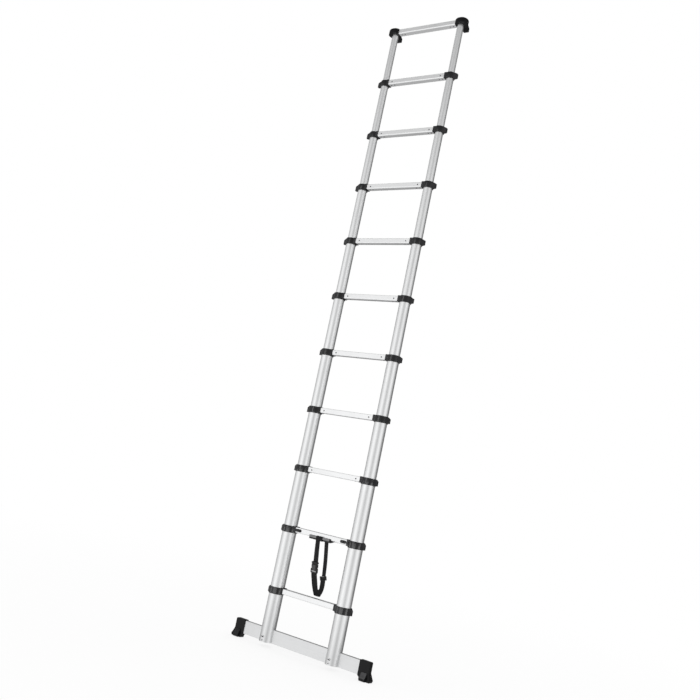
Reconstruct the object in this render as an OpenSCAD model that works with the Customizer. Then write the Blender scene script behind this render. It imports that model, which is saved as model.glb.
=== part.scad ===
// Telescoping ladder: nested round tubes on each side, one rung per section, a cross bar with
// rubber feet at the bottom and capped tops. Drawn fully extended and upright.
// Origin: on the floor, midway between the feet and midway through the ladder's depth. X runs along
// the rungs, -Y is the climbing side, +Y faces the wall, and Z runs along the tubes. The shapes are
// drawn about the plane of the rails' axes, and in_frame() sets them in their place.

/* [Ladder] */
// Number of rungs
rung_count = 11; // [5:1:12]
// Height between neighbouring rungs, extended
rung_pitch = 290; // [240:5:320]
// Height of the lowest rung's centre above the floor
first_rung_z = 260; // [220:5:320]
// Distance between the axes of the two rails
gauge = 386; // [340:2:460]

/* [Tubes] */
// Outer diameter of the widest tube
base_tube_d = 68.4; // [66:0.1:75]
// How much slimmer each section's tube is than the one below
tube_step = 3.9; // [3.7:0.1:4]
// Wall thickness of the tubes
tube_wall = 1.5; // [1.2:0.1:1.6]
// How far an extended tube still reaches down past the rung below
tube_overlap = 80; // [60:5:120]

/* [Rungs] */
// Depth of a rung, front to back
rung_depth = 30; // [26:1:32]
// Height of a rung
rung_height = 25; // [22:1:26]
// Wall thickness of a rung
rung_wall = 1.6; // [1.2:0.1:2]
// Number of grip grooves on a rung's top
groove_count = 6; // [3:1:7]

/* [Collars] */
// Height of a collar
collar_height = 28; // [26:1:30]
// Thickness of a collar's ring around its tube
collar_ring = 4; // [3:0.5:5]
// Distance from a tube's surface to the rung's end
boss_reach = 10; // [8:1:12]
// Distance that a collar's plug reaches into the rung
plug_reach = 38; // [34:1:44]

/* [Lock] */
// Diameter of a lock pin
pin_d = 8; // [6:0.5:8]
// Travel of a lock pin into the inner tube
pin_travel = 8; // [6:0.5:8]

/* [Base bar] */
// Length of the cross bar
bar_length = 768; // [700:2:820]
// Depth of the cross bar, front to back
bar_depth = 18; // [16:1:24]
// Height of the cross bar
bar_height = 61; // [54:1:64]
// Height of the bar's underside above the floor
bar_lift = 20; // [16:1:24]
// Wall thickness of the cross bar
bar_wall = 2; // [1.6:0.1:2.5]
// Length of a rubber foot along the bar
foot_length = 55; // [52:1:66]

/* [Carry strap] */
// Width of the webbing above the buckle and the slider
webbing_w = 24; // [18:1:24]
// Width of the broader webbing below them
broad_w = 28; // [25:1:29]
// Thickness of the webbing
webbing_t = 2; // [1.6:0.1:2.4]
// Length of the hanging loop from its hinge to its lowest edge
loop_length = 253; // [220:1:253]
// Lean of the hanging loop towards the wall side
loop_lean = 10; // [0:1:25]

/* [Hidden] */
$fn = 96;
eps = 0.5;                       // overshoot that lets a cut pass cleanly through a surface
fit_gap = 0.05;                  // radial gap of parts that guide or hold one another
first_sliding = 3;               // the lowest rung that rides on a sliding tube
lowest_lock = 2;                 // the lowest rung that holds lock pins
highest_lock = rung_count - 1;   // the highest rung that holds lock pins
strap_rung = 2;                  // the rung that the carry strap hangs from
pin_bore_d = pin_d + 2 * fit_gap;

rung_top = 13;                                   // top of a rung above its centre line
rung_bottom = rung_top - rung_height;            // underside of a rung, from its centre line
rung_edge_r = 5;                                 // radius of a rung's lower front edge
rung_back_r = 2;                                 // radius of a rung's lower back edge
rung_top_r = 2;                                  // radius of a rung's upper edges
groove_w = 1.6;                                  // width of a grip groove
groove_deep = 0.8;                               // depth of a grip groove
collar_half = collar_height / 2;
collar_chamfer = 1.2;                            // bevel on a collar ring's outer edges
collar_skirt = 4;                                // how far a collar's ring reaches below its boss
boss_rise = 1.5;                                 // how far a boss stands above its ring
collar_lip = 4;                                  // thickness of the lip that guides the next tube
boss_half_depth = rung_depth / 2 + 2;            // half the depth of a collar's boss
ear_reach = 11;                                  // how far the lowest outboard ears stand off their rings
ear_gain = 0.9;                                  // how much further each higher ear stands off
ear_half_w = 8;                                  // half width of the ear's outer face
ear_drop = 9;                                    // how far the ear's top slopes down to its outer face
spring_bore_d = 14;                              // diameter of the spring chamber in the plug
pin_seat = 4;                                    // length of the narrow bore inside the rung's end
pin_flange_d = 12;                               // diameter of the pin's spring flange
pin_flange_t = 2;                                // thickness of the pin's spring flange
pin_flange_in = 25;                              // how far inside the rung's end a drawn pin's flange stands
pin_rest_clear = 0.5;                            // how far a drawn pin's tip stays inside the outer tube's face

button_len = 15;                                 // length of a release button
button_h = 8;                                    // height of a release button
button_proud = 4;                                // how far a button stands out of its bezel
bezel_len = 33;                                  // length of a button's oval bezel
bezel_h = 14;                                    // height of a button's bezel
bezel_t = 3;                                     // thickness of a button's bezel
bezel_in = 1.5;                                  // how far a bezel's outer end stands from the rung's end
bezel_link_h = 8;                                // height of the strip between a bezel and the collar
stem_len = 6;                                    // length of a button's stem along the rung
stem_h = 5;                                      // height of a button's stem
slot_play = 0.4;                                 // free play of a stem in its slot

cap_skirt = 10;                                  // reach of a top cap below its rung's centre
cap_top = 18;                                    // reach of a top cap above its rung's centre
cap_r = 31;                                      // radius of a top cap's round ends
cap_offset = 7;                                  // how far the oval cap is drawn out on its outer side
cap_crown = 8;                                   // radius of a cap's rounded upper edge
pad_far_y = 55;                                  // wall face of a top cap's wall pad
pad_outer_x = -20;                               // sides of a wall pad, from the rail's axis
pad_inner_x = 7;
pad_drop = 20;                                   // reach of a wall pad below the rung's centre
pad_face_h = 18;                                 // height of a wall pad's wall face
pad_t = 9;                                       // thickness of a wall pad at its foot

bar_front = -5.5;                                // front face of the cross bar
bar_top = bar_lift + bar_height;
bar_corner = 2;                                  // corner radius of the cross bar
foot_wall = 4;                                   // thickness of a foot past the bar's end
foot_side = 3;                                   // thickness of a foot before and behind the bar
foot_lid = 3;                                    // thickness of a foot over the bar
foot_flare = 13;                                 // how far a foot's sole spreads outwards past its waist
foot_sole_h = 9;                                 // height of a foot's upright sole edge
foot_waist_z = 38;                               // height of a foot's waist
foot_step = 10;                                  // how far the sole's inner end stands back from the sleeve's
toe_reach = 14;                                  // how far a foot's toe spreads forwards
toe_length = 31;                                 // length of the toe along the bar
toe_inset = 6;                                   // distance from the foot's outer end to its toe
clamp_bolt_z = 44.5;                             // height of the large bolt that clamps a rail to the bar
lower_bolt_z = 28;                               // height of the small bolt below it
clamp_bolt_d = 8;
lower_bolt_d = 5;
bolt_inside = 5;                                 // how far a bolt reaches past the bar's front wall

holder_left = -60;                               // ends of the strap holder along the rung
holder_right = 62;
holder_t = 3;                                    // thickness of the strap holder
holder_drop = 9;                                 // reach of the holder below the rung
holder_lip_h = 9;                                // reach of the holder's front lip up the rung's face
strap_left_x = -13;                              // centre lines of the loop's two hanging bands
strap_right_x = 38;
loop_gap = 3;                                    // gap between the holder and the top of the loop
loop_shoulder = 48;                              // height over which the loop narrows to its lowest edge
loop_run_in = 20;                                // how far each side of the loop comes in over that height
crotch_half_w = 3;                               // half width of the loop's opening at its lower end
buckle_w = 33;
buckle_h = 46;
buckle_t = 10;
buckle_drop = 106;                               // distance from the loop's hinge to the buckle's top
slider_w = 36;
slider_h = 20;
slider_t = 8;
slider_drop = 156;                               // distance from the loop's hinge to the slider's top

// Height of rung k's centre line
function rung_z(k) = first_rung_z + (k - 1) * rung_pitch;
// Outer radius of the tube that carries rung k; rungs 1 and 2 share the widest tube
function tube_r(k) = base_tube_d / 2 - max(0, k - lowest_lock) * tube_step / 2;
// Upper and lower end of the tube that carries rung k
function tube_top(k) = rung_z(k) + collar_half - collar_lip;
function tube_bottom(k) = k == lowest_lock ? bar_lift : rung_z(k - 1) - tube_overlap;
// Distance from a rail's axis to the end of rung k
function rung_end(k) = tube_r(k) + boss_reach;
// Distance from a rail's axis to the drawn lock pin's flange, and to the middle of the button that draws it
function pin_flange_x(k) = rung_end(k) + pin_flange_in;
button_x = pin_flange_x(lowest_lock) - stem_len / 2 - fit_gap;
// Middle of the strap's hinge line, under the second rung
strap_hinge_y = -rung_depth / 2 + 7;
strap_hinge_z = rung_z(strap_rung) + rung_bottom - holder_drop;
// Where the rails' axes stand in Y, so that the origin is midway through the ladder's depth
front_reach = tube_r(1) + collar_ring;
loop_back_y = strap_hinge_y + loop_length * sin(loop_lean) + webbing_t / 2 * cos(loop_lean);
back_reach = max(pad_far_y, loop_back_y);
rail_axis_y = (front_reach - back_reach) / 2;

section_nodes = [for (k = [first_sliding : rung_count]) str("section_", k, "_tubes")];
rung_nodes = [for (k = [1 : rung_count]) str("rung_", k)];
collar_nodes = [for (k = [1 : highest_lock]) str("rung_", k, "_collars")];
pin_nodes = [for (k = [lowest_lock : highest_lock], side = ["left", "right"])
    str("rung_", k, "_lock_pin_", side)];

module in_frame() {
    translate([0, rail_axis_y, 0]) children();
}

// Places a shape drawn about the rail's axis, with +X towards the other rail
module left_rail() {
    translate([-gauge / 2, 0, 0]) children();
}

module right_rail() {
    mirror([1, 0, 0]) left_rail() children();
}

module both_rails() {
    left_rail() children();
    right_rail() children();
}

// A round bar along X that starts at x0
module rod_x(d, x0, x1) {
    translate([x0, 0, 0]) rotate([0, 90, 0]) cylinder(d = d, h = x1 - x0);
}

// A round bar along Y that starts at y0
module rod_y(d, y0, y1) {
    translate([0, y0, 0]) rotate([-90, 0, 0]) cylinder(d = d, h = y1 - y0);
}

// A box given by its lowest and highest corners
module span_box(low, high) {
    translate(low) cube(high - low);
}

// Tubes

module pin_hole(k) {
    translate([0, 0, rung_z(k)]) rod_x(pin_bore_d, 0, base_tube_d);
}

module tube(k) {
    tall = tube_top(k) - tube_bottom(k);
    difference() {
        translate([0, 0, tube_bottom(k)]) cylinder(r = tube_r(k), h = tall);
        translate([0, 0, tube_bottom(k) - eps]) cylinder(r = tube_r(k) - tube_wall, h = tall + 2 * eps);
        if (k < rung_count) pin_hole(k);
        if (k >= first_sliding) pin_hole(k - 1);
    }
}

module section_tubes(k) {
    color("gainsboro") both_rails() tube(k);
}

// The widest tubes, slotted at the bottom so that they straddle the cross bar
module base_tubes() {
    color("gainsboro") both_rails() difference() {
        tube(lowest_lock);
        span_box([-base_tube_d, bar_front - fit_gap, 0],
            [base_tube_d, bar_front + bar_depth + fit_gap, bar_top + fit_gap]);
        translate([0, 0, clamp_bolt_z]) rod_y(clamp_bolt_d + 2 * fit_gap, -base_tube_d, 0);
        translate([0, 0, lower_bolt_z]) rod_y(lower_bolt_d + 2 * fit_gap, -base_tube_d, 0);
    }
}

// Rungs

// Section of a rung in (y, z), drawn in by inset; the lower front edge is rounder than the others
module rung_outline(inset) {
    half = rung_depth / 2 - inset;
    low = rung_bottom + inset;
    high = rung_top - inset;
    front_r = rung_edge_r - inset;
    back_r = max(rung_back_r - inset, 0.3);
    high_r = max(rung_top_r - inset, 0.3);
    union() {
        translate([-half, low + front_r]) square([2 * half, high - high_r - low - front_r]);
        translate([front_r - half, low]) square([2 * half - front_r - back_r, front_r + 1]);
        translate([front_r - half, low + back_r]) square([2 * half - front_r, front_r]);
        translate([high_r - half, high - high_r - 1]) square([2 * (half - high_r), high_r + 1]);
        translate([front_r - half, low + front_r]) circle(r = front_r);
        translate([half - back_r, low + back_r]) circle(r = back_r);
        for (side = [-1, 1]) translate([side * (half - high_r), high - high_r]) circle(r = high_r);
    }
}

// Carries a (y, z) section along X from x0 to x1
module along_x(x0, x1) {
    translate([x0, 0, 0]) rotate([90, 0, 90]) linear_extrude(height = x1 - x0) children();
}

module rung_tube(k) {
    half = gauge / 2 - rung_end(k) - fit_gap;
    groove_pitch = (rung_depth - 2 * rung_top_r) / groove_count;
    translate([0, 0, rung_z(k)]) along_x(-half, half) difference() {
        rung_outline(0);
        rung_outline(rung_wall);
        for (i = [0 : groove_count - 1])
            translate([(i - (groove_count - 1) / 2) * groove_pitch - groove_w / 2, rung_top - groove_deep])
                square([groove_w, groove_deep + eps]);
    }
}

module rung(k) {
    color("whitesmoke") difference() {
        rung_tube(k);
        if (k == lowest_lock) both_rails() button_slot();
    }
}

// Collars

// Ring about the tube, bevelled at both outer edges
module collar_ring(k) {
    r = tube_r(k) + collar_ring;
    low = -collar_half - collar_skirt;
    rotate_extrude() polygon([
        [0, low], [r - collar_chamfer, low], [r, low + collar_chamfer],
        [r, collar_half - collar_chamfer], [r - collar_chamfer, collar_half], [0, collar_half]]);
}

// Ear on the ring's outer side, narrower and lower at its outer face
module collar_ear(k) {
    r = tube_r(k) + collar_ring;
    face = -r - ear_reach - max(0, k - lowest_lock) * ear_gain;
    corner = 3;
    low = -collar_half - collar_skirt / 2;
    difference() {
        translate([0, 0, low]) linear_extrude(height = collar_half - low) polygon([
            [0, -0.48 * r], [-0.86 * r, -0.48 * r], [face + corner, -ear_half_w],
            [face, corner - ear_half_w], [face, ear_half_w - corner],
            [face + corner, ear_half_w], [-0.86 * r, 0.48 * r], [0, 0.48 * r]]);
        rotate([90, 0, 0]) linear_extrude(height = 2 * r, center = true) polygon([
            [-0.86 * r, collar_half], [face - eps, collar_half - ear_drop],
            [face - eps, collar_half + eps], [-0.86 * r, collar_half + eps]]);
    }
}

// Block between the ring and the rung's end, a little higher than the ring
module collar_boss(k) {
    span_box([0, -boss_half_depth, -collar_half], [rung_end(k), boss_half_depth, collar_half]);
    span_box([tube_r(k) - 4, -boss_half_depth, 0], [rung_end(k), boss_half_depth, collar_half + boss_rise]);
}

// Plug inside the rung
module collar_plug(k) {
    along_x(rung_end(k) - 1, rung_end(k) + plug_reach) rung_outline(rung_wall + fit_gap);
}

module collar(k) {
    guide_r = k == 1 ? tube_r(k) : tube_r(k + 1);
    translate([0, 0, rung_z(k)]) difference() {
        union() {
            collar_ring(k);
            collar_ear(k);
            collar_boss(k);
            collar_plug(k);
            if (k == lowest_lock) button_bezel();
        }
        translate([0, 0, -collar_half - collar_skirt - eps])
            cylinder(r = tube_r(k) + fit_gap, h = collar_height + collar_skirt - collar_lip + eps + fit_gap);
        cylinder(r = guide_r + fit_gap, h = collar_height);
        if (k >= lowest_lock) {
            rod_x(pin_bore_d, 0, rung_end(k) + plug_reach + eps);
            rod_x(spring_bore_d, rung_end(k) + pin_seat, rung_end(k) + plug_reach + eps);
        }
        if (k == lowest_lock) translate([0, 0, -rung_z(k)]) button_slot();
    }
}

module collars(k) {
    color("dimgray") both_rails() collar(k);
}

// Lock pins and release buttons

// Pin drawn back clear of the inner tube; the flange carries its spring
module lock_pin(k) {
    flange_x = pin_flange_x(k);
    color("silver") translate([0, 0, rung_z(k)]) {
        rod_x(pin_d, tube_r(k) - pin_rest_clear, flange_x + pin_flange_t);
        rod_x(pin_flange_d, flange_x, flange_x + pin_flange_t);
    }
}

// Slot that a button's stem slides along, through the bezel, the rung's face and the plug
module button_slot() {
    half = stem_len / 2 + slot_play;
    span_box([button_x - half - pin_travel, -rung_depth, rung_z(lowest_lock) - stem_h / 2 - slot_play],
        [button_x + half, 0, rung_z(lowest_lock) + stem_h / 2 + slot_play]);
}

// Oval pad shape with its length along X
module oval_pad(len, tall, y0, y1) {
    rotate([-90, 0, 0]) translate([0, 0, y0]) linear_extrude(height = y1 - y0) union() {
        square([len - tall, tall], center = true);
        for (side = [-1, 1]) translate([side * (len - tall) / 2, 0]) circle(d = tall);
    }
}

// Oval bezel on the rung's face, joined to the collar's boss
module button_bezel() {
    face = -rung_depth / 2 - fit_gap;
    middle = rung_end(lowest_lock) + bezel_len / 2 + bezel_in;
    translate([middle, 0, 0]) oval_pad(bezel_len, bezel_h, face - bezel_t, face);
    span_box([rung_end(lowest_lock) - boss_reach, face - bezel_t, -bezel_link_h / 2],
        [middle, face, bezel_link_h / 2]);
}

module release_button() {
    outer = -rung_depth / 2 - fit_gap - bezel_t;
    color("black") translate([button_x, 0, rung_z(lowest_lock)]) {
        oval_pad(button_len, button_h, outer - button_proud, outer - fit_gap);
        span_box([-stem_len / 2, outer - 1, -stem_h / 2], [stem_len / 2, -pin_d / 2 - slot_play, stem_h / 2]);
    }
}

// Top caps

// Edge profile of a cap's dome in (distance from the axis, z)
module cap_profile() {
    union() {
        translate([0, -cap_skirt]) square([cap_r, cap_skirt + cap_top - cap_crown]);
        translate([0, cap_top - cap_crown]) square([cap_r - cap_crown, cap_crown]);
        intersection() {
            translate([cap_r - cap_crown, cap_top - cap_crown]) circle(r = cap_crown);
            translate([cap_r - cap_crown, cap_top - cap_crown]) square(cap_crown);
        }
    }
}

// Oval dome: two round ends and the straight part between them
module cap_dome() {
    rotate_extrude() cap_profile();
    translate([-cap_offset, 0, 0]) rotate_extrude() cap_profile();
    along_x(-cap_offset, 0) union() {
        cap_profile();
        mirror([1, 0]) cap_profile();
    }
}

// Arm behind a cap that drops to a pad for the wall
module wall_pad() {
    foot_top = pad_face_h - pad_drop;
    along_x(pad_outer_x, pad_inner_x) polygon([
        [cap_r - 8, 12], [cap_r + 3, 12], [pad_far_y - 3, foot_top + 3], [pad_far_y, foot_top],
        [pad_far_y, -pad_drop], [pad_far_y - pad_t, -pad_drop], [cap_r - 2, -cap_skirt],
        [cap_r - 8, -cap_skirt]]);
}

// Dome cap over a rail's end, with a plug in the rung and a pad that rests on the wall
module top_cap() {
    end = rung_end(rung_count);
    color("black") translate([0, 0, rung_z(rung_count)]) union() {
        difference() {
            union() {
                cap_dome();
                wall_pad();
            }
            translate([0, 0, -cap_skirt - eps])
                cylinder(r = tube_r(rung_count) + fit_gap, h = cap_skirt + eps + collar_half - collar_lip);
            span_box([end, -rung_depth / 2 - fit_gap, rung_bottom - fit_gap],
                [end + cap_r, rung_depth / 2 + fit_gap, rung_top + fit_gap]);
        }
        along_x(end - 1, end + plug_reach) rung_outline(rung_wall + fit_gap);
    }
}

// Base bar, feet and bolts

module rounded_box_x(low, high, r) {
    along_x(low[0], high[0]) union() {
        translate([low[1] + r, low[2]]) square([high[1] - low[1] - 2 * r, high[2] - low[2]]);
        translate([low[1], low[2] + r]) square([high[1] - low[1], high[2] - low[2] - 2 * r]);
        for (y = [low[1] + r, high[1] - r], z = [low[2] + r, high[2] - r]) translate([y, z]) circle(r = r);
    }
}

module stabiliser_bar() {
    half = bar_length / 2;
    low = [-half, bar_front, bar_lift];
    high = [half, bar_front + bar_depth, bar_top];
    wall = [-eps, bar_wall, bar_wall];
    color("gainsboro") difference() {
        rounded_box_x(low, high, bar_corner);
        span_box(low + wall, high - wall);
        both_rails() translate([0, 0, clamp_bolt_z])
            rod_y(clamp_bolt_d + 2 * fit_gap, bar_front - eps, bar_front + bar_wall + eps);
        both_rails() translate([0, 0, lower_bolt_z])
            rod_y(lower_bolt_d + 2 * fit_gap, bar_front - eps, bar_front + bar_wall + eps);
    }
}

// Foot on the bar's left end: a sleeve with a waist, spreading outwards and forwards to a flat sole
module foot() {
    outer = -bar_length / 2 - foot_wall;
    inner = outer + foot_length;
    front = bar_front - foot_side;
    back = bar_front + bar_depth + foot_side;
    top = bar_top + foot_lid;
    side_sketch = [[inner, top], [outer + 3, top], [outer, top - 3], [outer, foot_waist_z],
        [outer - foot_flare, foot_sole_h], [outer - foot_flare + 3, 0], [inner - foot_step - 2, 0],
        [inner - foot_step, foot_sole_h + 3], [inner, bar_lift - 2]];
    front_sketch = [[front, top], [front, foot_waist_z / 2], [front - 3, foot_sole_h], [front - 2, 0],
        [back + 3, 0], [back + 4, foot_sole_h], [back, foot_waist_z], [back, top]];
    toe_sketch = [[front + 1, foot_waist_z], [front, foot_waist_z], [front - toe_reach, foot_sole_h],
        [front + 3 - toe_reach, 0], [front + 1, 0]];
    color("black") difference() {
        union() {
            intersection() {
                translate([0, back + foot_length, 0]) rotate([90, 0, 0])
                    linear_extrude(height = 3 * foot_length) polygon(side_sketch);
                along_x(outer - foot_length, inner + foot_length) polygon(front_sketch);
            }
            along_x(outer + toe_inset, outer + toe_inset + toe_length) polygon(toe_sketch);
        }
        span_box([-bar_length / 2 - fit_gap, bar_front - fit_gap, bar_lift - fit_gap],
            [0, bar_front + bar_depth + fit_gap, bar_top + fit_gap]);
    }
}

module foot_left() {
    foot();
}

module foot_right() {
    mirror([1, 0, 0]) foot();
}

// Button-head bolt through the tube's front wall into the bar
module bar_bolt(z, d, head_d, head_t) {
    seat = -base_tube_d / 2;
    translate([0, 0, z]) {
        rod_y(head_d, seat - head_t, seat);
        rod_y(d, seat - eps, bar_front + bar_wall + bolt_inside);
    }
}

module bar_bolts() {
    color("silver") both_rails() {
        bar_bolt(clamp_bolt_z, clamp_bolt_d, 12, 3);
        bar_bolt(lower_bolt_z, lower_bolt_d, 8, 2);
    }
}

// Carry strap

// Angle strip along the second rung's lower front edge
module strap_holder() {
    face = -rung_depth / 2;
    under = rung_bottom - fit_gap;
    color("dimgray") translate([0, 0, rung_z(strap_rung)]) difference() {
        union() {
            span_box([holder_left, face - holder_t, under - holder_drop],
                [holder_right, face - fit_gap, rung_bottom + holder_lip_h]);
            span_box([holder_left, face - holder_t, under - holder_t], [holder_right, 2, under]);
        }
        translate([0, face + rung_edge_r, rung_bottom + rung_edge_r])
            rod_x(2 * (rung_edge_r + fit_gap), holder_left - eps, holder_right + eps);
    }
}

// Stands a (x, drop) drawing in the leaning plane of the loop, drop growing downwards from the hinge
module in_loop_plane(y0, y1) {
    translate([0, strap_hinge_y, strap_hinge_z]) rotate([90 + loop_lean, 0, 0])
        translate([0, 0, -y1]) linear_extrude(height = y1 - y0) children();
}

// Both bands above the buckle and the slider, hanging from the holder
module upper_bands() {
    translate([strap_left_x - webbing_w / 2, -buckle_drop - buckle_h / 2 - eps])
        square([webbing_w, buckle_drop + buckle_h / 2 + eps - loop_gap]);
    translate([strap_right_x - webbing_w / 2, -slider_drop - slider_h / 2 - eps])
        square([webbing_w, slider_drop + slider_h / 2 + eps - loop_gap]);
}

// Broad band below them, turning at the loop's lowest edge
module lower_loop() {
    left = strap_left_x - broad_w / 2;
    right = strap_right_x + broad_w / 2;
    middle = (left + right) / 2;
    left_top = -buckle_drop - buckle_h / 2;
    right_top = -slider_drop - slider_h / 2;
    crotch = broad_w - loop_length;
    difference() {
        polygon([[left, left_top], [left, loop_shoulder - loop_length], [left + loop_run_in, -loop_length],
            [right - loop_run_in, -loop_length], [right, loop_shoulder - loop_length], [right, right_top],
            [right - broad_w, right_top], [left + broad_w, left_top]]);
        polygon([[left + broad_w, 0], [left + broad_w, crotch + loop_run_in], [middle - crotch_half_w, crotch],
            [middle + crotch_half_w, crotch], [right - broad_w, crotch + loop_run_in], [right - broad_w, 0]]);
    }
}

module strap_webbing() {
    color("black") in_loop_plane(-webbing_t / 2, webbing_t / 2) union() {
        upper_bands();
        lower_loop();
    }
}

// Block with a slot that the webbing runs through
module threaded_block(x, drop, w, h, t) {
    difference() {
        in_loop_plane(-t / 2, t / 2) translate([x - w / 2, -drop - h]) square([w, h]);
        in_loop_plane(-webbing_t / 2 - fit_gap, webbing_t / 2 + fit_gap)
            translate([x - broad_w / 2 - fit_gap, -drop - h - eps])
                square([broad_w + 2 * fit_gap, h + 2 * eps]);
    }
}

module strap_buckle() {
    color("dimgray") threaded_block(strap_left_x, buckle_drop, buckle_w, buckle_h, buckle_t);
}

module strap_slider() {
    color("dimgray") threaded_block(strap_right_x, slider_drop, slider_w, slider_h, slider_t);
}

in_frame() base_tubes();
in_frame() stabiliser_bar();
in_frame() foot_left();
in_frame() foot_right();
in_frame() bar_bolts();
in_frame() left_rail() release_button();  // release_button_left
in_frame() right_rail() release_button();  // release_button_right
in_frame() both_rails() top_cap();  // top_caps
in_frame() strap_holder();
in_frame() strap_webbing();
in_frame() strap_buckle();
in_frame() strap_slider();
for (k = [1 : rung_count])
    in_frame() rung(k);
for (k = [first_sliding : rung_count])
    in_frame() section_tubes(k);
for (k = [1 : highest_lock])
    in_frame() collars(k);
for (k = [lowest_lock : highest_lock]) {
    in_frame() left_rail() lock_pin(k);
    in_frame() right_rail() lock_pin(k);
}
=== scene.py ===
"""Telescoping ladder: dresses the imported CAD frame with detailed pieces, materials and studio light.

Lengths named in capitals are in metres unless their comment says millimetres.
"""

import math

import bmesh
import bpy
from mathutils import Matrix, Vector


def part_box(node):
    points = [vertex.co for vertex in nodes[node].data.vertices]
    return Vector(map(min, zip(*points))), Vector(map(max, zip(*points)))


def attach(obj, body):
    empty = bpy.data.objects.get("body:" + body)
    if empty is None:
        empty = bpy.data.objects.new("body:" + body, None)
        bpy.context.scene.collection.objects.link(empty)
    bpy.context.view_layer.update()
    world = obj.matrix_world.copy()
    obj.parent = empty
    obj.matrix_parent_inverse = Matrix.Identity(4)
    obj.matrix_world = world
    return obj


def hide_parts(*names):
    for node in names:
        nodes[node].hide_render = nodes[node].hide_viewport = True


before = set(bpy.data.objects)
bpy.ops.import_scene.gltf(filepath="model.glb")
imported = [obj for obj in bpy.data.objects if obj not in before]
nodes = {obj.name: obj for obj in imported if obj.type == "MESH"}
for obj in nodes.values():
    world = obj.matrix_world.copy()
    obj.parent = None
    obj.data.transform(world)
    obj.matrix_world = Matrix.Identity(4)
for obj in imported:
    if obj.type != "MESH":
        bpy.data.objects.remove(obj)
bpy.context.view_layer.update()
MM = 0.001

# ---------------------------------------------------------------- places, from the frame


def box_of(node):
    """Lowest and highest corner of a CAD node as vectors."""
    low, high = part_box(node)
    return Vector(low), Vector(high)


RUNGS = sorted(int(n.split("_")[1]) for n in nodes if n.startswith("rung_") and n.count("_") == 1)
TOP_RUNG = RUNGS[-1]
FIXED_RUNGS = 2              # rungs 1 and 2 stand on the base tubes
base_low, base_high = box_of("base_tubes")
BASE_TUBE_R = (base_high.y - base_low.y) / 2
RAIL_X = base_high.x - BASE_TUBE_R
RAIL_Y = (base_low.y + base_high.y) / 2


def section_of(rung):
    """The CAD body that carries a rung."""
    return "base" if rung <= FIXED_RUNGS else f"section_{rung}"


# ---------------------------------------------------------------- mesh helpers


def mesh_from(name, verts, faces):
    """Mesh with its normals facing outwards."""
    mesh = bpy.data.meshes.new(name)
    mesh.from_pydata([tuple(v) for v in verts], [], faces)
    mesh.validate()
    shape = bmesh.new()
    shape.from_mesh(mesh)
    bmesh.ops.recalc_face_normals(shape, faces=shape.faces)
    shape.to_mesh(mesh)
    shape.free()
    return mesh


def add_piece(name, shape, material, body, smooth=True):
    """Makes a piece of (verts, faces) that rides on a CAD body."""
    mesh = mesh_from(name, *shape)
    piece = bpy.data.objects.new(name, mesh)
    bpy.context.scene.collection.objects.link(piece)
    mesh.materials.append(material)
    for face in mesh.polygons:
        face.use_smooth = smooth
    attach(piece, body)
    return piece


def loft(rings, close_ends=True):
    """Vertices and faces of a skin over rings that have equal numbers of points."""
    count = len(rings[0])
    verts = [p for ring in rings for p in ring]
    faces = []
    for r in range(len(rings) - 1):
        for i in range(count):
            j = (i + 1) % count
            faces.append((r * count + i, r * count + j, (r + 1) * count + j, (r + 1) * count + i))
    if close_ends:
        faces.append(tuple(range(count)))
        last = (len(rings) - 1) * count
        faces.append(tuple(last + i for i in reversed(range(count))))
    return verts, faces


def lathe(profile, place, axis, segments=32):
    """Turns (radius, height) points about an axis through place; the first and last radius may be 0."""
    axis = Vector(axis).normalized()
    side = axis.orthogonal().normalized()
    other = axis.cross(side)
    rings = []
    for radius, height in profile:
        ring = []
        for i in range(segments):
            turn = 2 * math.pi * i / segments
            out = side * math.cos(turn) + other * math.sin(turn)
            ring.append(Vector(place) + axis * height + out * max(radius, 1e-6))
        rings.append(ring)
    return loft(rings)


def rounded_rectangle(half_w, half_h, radius, steps=6):
    """Outline points of a rectangle with round corners, centred on the origin."""
    radius = min(radius, half_w * 0.999, half_h * 0.999)
    points = []
    for corner, (sx, sy) in enumerate(((1, 1), (-1, 1), (-1, -1), (1, -1))):
        for step in range(steps + 1):
            turn = math.pi / 2 * (corner + step / steps)
            points.append((sx * (half_w - radius) + radius * math.cos(turn),
                           sy * (half_h - radius) + radius * math.sin(turn)))
    return points


def join_parts(parts):
    """Several (verts, faces) as one."""
    verts, faces = [], []
    for part_verts, part_faces in parts:
        start = len(verts)
        verts += part_verts
        faces += [tuple(start + i for i in face) for face in part_faces]
    return verts, faces


def soften_edges(node, width, segments=3):
    """Rounds a CAD node's hard edges with modifiers, leaving its mesh as it is."""
    weld = node.modifiers.new("weld", "WELD")
    weld.merge_threshold = 0.01 * MM
    bevel = node.modifiers.new("edge_round", "BEVEL")
    bevel.width = width
    bevel.segments = segments
    bevel.limit_method = "ANGLE"
    bevel.angle_limit = math.radians(40)
    bevel.harden_normals = True
    bevel.use_clamp_overlap = True


def slab(outline, back, front, place_of, edge):
    """Plate with rounded rims; outline is (u, v) points and place_of(u, v, w) stands the plate in space."""
    def ring(inset, level):
        half_u = max(abs(u) for u, v in outline)
        half_v = max(abs(v) for u, v in outline)
        return [place_of(u * (1 - inset / half_u), v * (1 - inset / half_v), level) for u, v in outline]
    turns = [0, 0.3, 0.65, 1]
    rim = [(edge * (1 - math.sin(t * math.pi / 2)), edge * (1 - math.cos(t * math.pi / 2))) for t in turns]
    rings = [ring(inset, back + level) for inset, level in rim]
    rings += [ring(inset, front - level) for inset, level in reversed(rim)]
    return loft(rings)


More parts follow.
